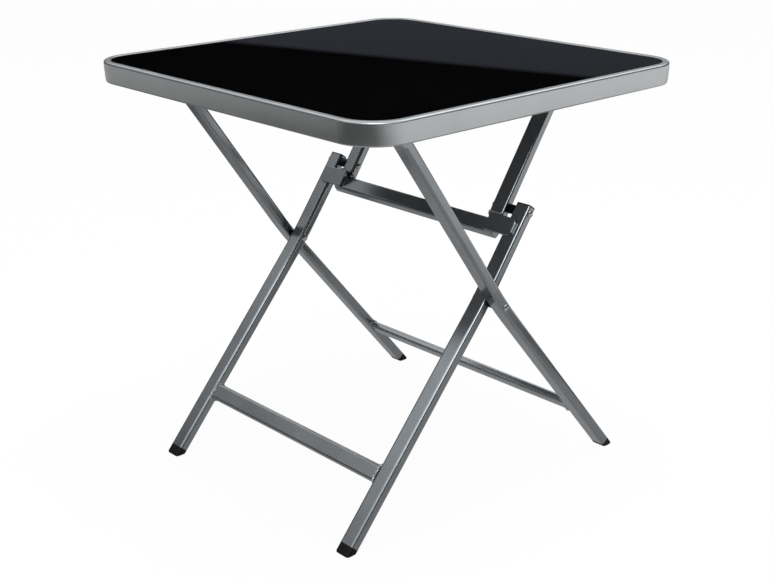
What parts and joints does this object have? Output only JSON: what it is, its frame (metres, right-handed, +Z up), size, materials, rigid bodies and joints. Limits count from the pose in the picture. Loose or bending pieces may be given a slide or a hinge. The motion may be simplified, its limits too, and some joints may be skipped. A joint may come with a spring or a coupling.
{
  "type": "folding table",
  "caption": "Square folding table with a black glass top in a metal rim, on crossed bent tube legs with folding knee struts that lock over centre.",
  "frame": {"origin": "on the floor, under the middle of the table top", "axes": "+Z up, +X along the hinge axes, -Y towards the feet of the short legs"},
  "size_m": [0.7, 0.7, 0.7075],
  "materials": {
    "rim_coat": "satin",
    "frame_coat": "satin",
    "black_glass": "gloss",
    "black_rubber": "matte",
    "black_plastic": "matte",
    "bright_steel": "satin"
  },
  "bodies": {
    "table_top": {"top_rim": "rim_coat", "glass_panel": "black_glass", "glass_seal": "black_rubber", "glass_pads": "black_rubber", "front_hinge_rail": "frame_coat", "rear_hinge_rail": "frame_coat", "front_hinge_bracket_left": "frame_coat", "front_hinge_bracket_right": "frame_coat", "rear_hinge_bracket_left": "frame_coat", "rear_hinge_bracket_right": "frame_coat", "hinge_rivets": "bright_steel"},
    "long_leg_frame": {"long_leg_left": "frame_coat", "long_leg_right": "frame_coat", "long_leg_plug_left": "black_plastic", "long_leg_plug_right": "black_plastic", "long_leg_foot_left": "black_plastic", "long_leg_foot_right": "black_plastic", "long_leg_rail": "frame_coat", "scissor_rivet_left": "bright_steel", "scissor_rivet_right": "bright_steel", "scissor_spacer_left": "black_plastic", "scissor_spacer_right": "black_plastic"},
    "short_leg_frame": {"short_leg_left": "frame_coat", "short_leg_right": "frame_coat", "short_leg_plug_left": "black_plastic", "short_leg_plug_right": "black_plastic", "short_leg_foot_left": "black_plastic", "short_leg_foot_right": "black_plastic", "short_leg_rail": "frame_coat", "scissor_tail_left": "bright_steel", "scissor_tail_right": "bright_steel"},
    "strut_frame": {"upper_strut_left": "frame_coat", "upper_strut_right": "frame_coat", "upper_strut_plug_left": "black_plastic", "upper_strut_plug_right": "black_plastic", "knee_crossbar": "frame_coat", "crossbar_plug_left": "frame_coat", "crossbar_plug_right": "frame_coat", "stop_plate_left": "frame_coat", "stop_plate_right": "frame_coat", "knee_rivet_left": "bright_steel", "knee_rivet_right": "bright_steel", "knee_spacer_left": "black_plastic", "knee_spacer_right": "black_plastic"}
  },
  "joints": [
    {"name": "long_leg_hinge", "type": "hinge", "parent": "table_top", "child": "long_leg_frame", "pos_m": [0, -0.2244, 0.6596], "axis": [1, 0, 0], "range_deg": [0, 48.5]},
    {"name": "strut_hinge", "type": "hinge", "parent": "table_top", "child": "strut_frame", "pos_m": [0, 0.2161, 0.6596], "axis": [1, 0, 0], "range_deg": [-45.25, 0]},
    {"name": "knee_hinge", "type": "hinge", "parent": "strut_frame", "child": "short_leg_frame", "pos_m": [0, 0.0914, 0.4756], "axis": [1, 0, 0], "range_deg": [0, 171.5]}
  ],
  "couplings": [
    {"joint": "strut_hinge", "follows": "long_leg_hinge", "ratio": -0.93236},
    {"joint": "knee_hinge", "follows": "long_leg_hinge", "ratio": 3.5351}
  ]
}
